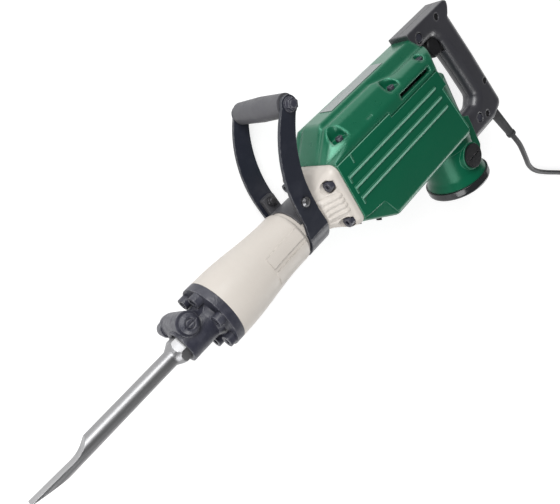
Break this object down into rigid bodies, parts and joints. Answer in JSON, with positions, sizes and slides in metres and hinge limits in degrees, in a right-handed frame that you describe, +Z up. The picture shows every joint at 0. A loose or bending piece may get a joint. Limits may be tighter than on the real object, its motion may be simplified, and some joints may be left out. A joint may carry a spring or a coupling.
{
  "type": "demolition hammer",
  "caption": "Electric demolition hammer with a flat chisel, cream barrel, green gear and motor housing, D-shaped rear handle with a trigger, swivelling side handle and power cord.",
  "frame": {"origin": "on the floor below the middle of the tool as it lies on its far side, cord left out", "axes": "+X runs rearward along the hammer axis from the chisel to the rear handle, +Y towards the crest and the side handle's grip, +Z up through the visible side"},
  "size_m": [1.3013, 0.6488, 0.1209],
  "materials": {
    "polished_steel": "polished",
    "black_iron": "satin black",
    "cream_paint": "satin cream paint on an alloy casting",
    "green_paint": "semi-gloss green paint on an alloy casting",
    "plain_plate": "bare satin plate",
    "machined_steel": "machined",
    "grey_steel": "grey finish",
    "strap_steel": "dark blue-black finish",
    "alloy": "cast",
    "copper": "copper",
    "brass": "plain",
    "black_plastic": "satin",
    "tail_plastic": "gloss black",
    "charcoal_plastic": "fine grain",
    "grip_rubber": "matt",
    "inner_rubber": "matt",
    "cord_rubber": "matt"
  },
  "bodies": {
    "machine": {"front_cover": "black_iron", "front_cover_bolts": "black_iron", "cylinder_case": "cream_paint", "crankcase_bolts": "black_iron", "hammer_holder": "machined_steel", "damper_ring": "inner_rubber", "cylinder_liner": "machined_steel", "crank_bearings": "machined_steel", "gear_plate": "alloy", "intermediate_bearings": "machined_steel", "stator": "copper", "motor_bearings": "machined_steel", "brush_holders": "brass", "carbon_brushes": "black_plastic", "brush_caps": "black_plastic", "housing": "green_paint", "gear_cover": "green_paint", "gear_cover_screws": "black_iron", "name_plate": "plain_plate", "grease_cover": "black_plastic", "grease_cover_screws": "black_plastic", "tail_cover": "tail_plastic", "tail_cover_screws": "machined_steel", "handle_near": "charcoal_plastic", "handle_far": "charcoal_plastic", "handle_screws": "black_plastic", "handle_bolts": "black_iron", "trigger_spring": "machined_steel", "switch": "black_plastic", "cord_guard": "cord_rubber", "cord_lead": "cord_rubber", "cord_coil": "cord_rubber", "cord_tie": "black_plastic", "plug": "cord_rubber", "plug_pins": "brass"},
    "chisel": {"chisel": "polished_steel"},
    "retainer": {"retainer_lever": "black_iron", "retainer_cap": "black_iron"},
    "side_handle": {"side_strap": "strap_steel", "clamp_saddle": "grey_steel", "clamp_bolts": "machined_steel", "side_grip": "grip_rubber", "grip_bolt": "black_iron"},
    "trigger": {"trigger": "black_plastic"},
    "armature": {"armature_shaft": "machined_steel", "armature_core": "machined_steel", "commutator": "copper", "cooling_fan": "black_plastic"},
    "intermediate": {"intermediate_shaft": "machined_steel", "first_gear": "machined_steel"},
    "crank": {"crankshaft": "machined_steel", "crank_gear": "machined_steel"},
    "piston": {"piston": "alloy", "piston_rings": "inner_rubber", "piston_pin": "machined_steel"},
    "rod": {"connecting_rod": "alloy"},
    "striker": {"striker": "machined_steel", "striker_rings": "inner_rubber"},
    "second_hammer": {"second_hammer": "machined_steel"}
  },
  "joints": [
    {"name": "chisel_slide", "type": "slide", "parent": "machine", "child": "chisel", "axis": [-1, 0, 0], "range_m": [0, 0.025]},
    {"name": "retainer_turn", "type": "hinge", "parent": "machine", "child": "retainer", "pos_m": [-0.21, 0.01542, 0.05328], "axis": [0, 0.2419, 0.9703], "range_deg": [0, 180]},
    {"name": "side_handle_swivel", "type": "hinge", "parent": "machine", "child": "side_handle", "pos_m": [-0.004, -0.0035, 0.058], "axis": [1, 0, 0], "range_deg": [-180, 180]},
    {"name": "trigger_pull", "type": "slide", "parent": "machine", "child": "trigger", "axis": [1, 0, 0], "range_m": [0, 0.007], "stiffness_N_per_m": 900, "springref_m": -0.006, "deforming": ["trigger_spring"]},
    {"name": "armature_spin", "type": "hinge", "parent": "machine", "child": "armature", "pos_m": [0.298, -0.0035, 0.058], "axis": [0, 1, 0], "continuous": true},
    {"name": "intermediate_spin", "type": "hinge", "parent": "machine", "child": "intermediate", "pos_m": [0.25, -0.0035, 0.058], "axis": [0, 1, 0], "continuous": true},
    {"name": "crank_spin", "type": "hinge", "parent": "machine", "child": "crank", "pos_m": [0.176, -0.0035, 0.058], "axis": [0, 1, 0], "continuous": true},
    {"name": "piston_slide", "type": "slide", "parent": "machine", "child": "piston", "axis": [1, 0, 0], "range_m": [0, 0.04]},
    {"name": "rod_swing", "type": "hinge", "parent": "piston", "child": "rod", "pos_m": [0.058, -0.0035, 0.058], "axis": [0, 1, 0], "range_deg": [-11.8, 11.8]},
    {"name": "striker_slide", "type": "slide", "parent": "machine", "child": "striker", "axis": [1, 0, 0], "range_m": [0, 0.034]},
    {"name": "second_hammer_slide", "type": "slide", "parent": "machine", "child": "second_hammer", "axis": [1, 0, 0], "range_m": [0, 0.01]}
  ],
  "couplings": [
    {"joint": "intermediate_spin", "follows": "armature_spin", "ratio": -0.2},
    {"joint": "crank_spin", "follows": "armature_spin", "ratio": 0.096}
  ]
}
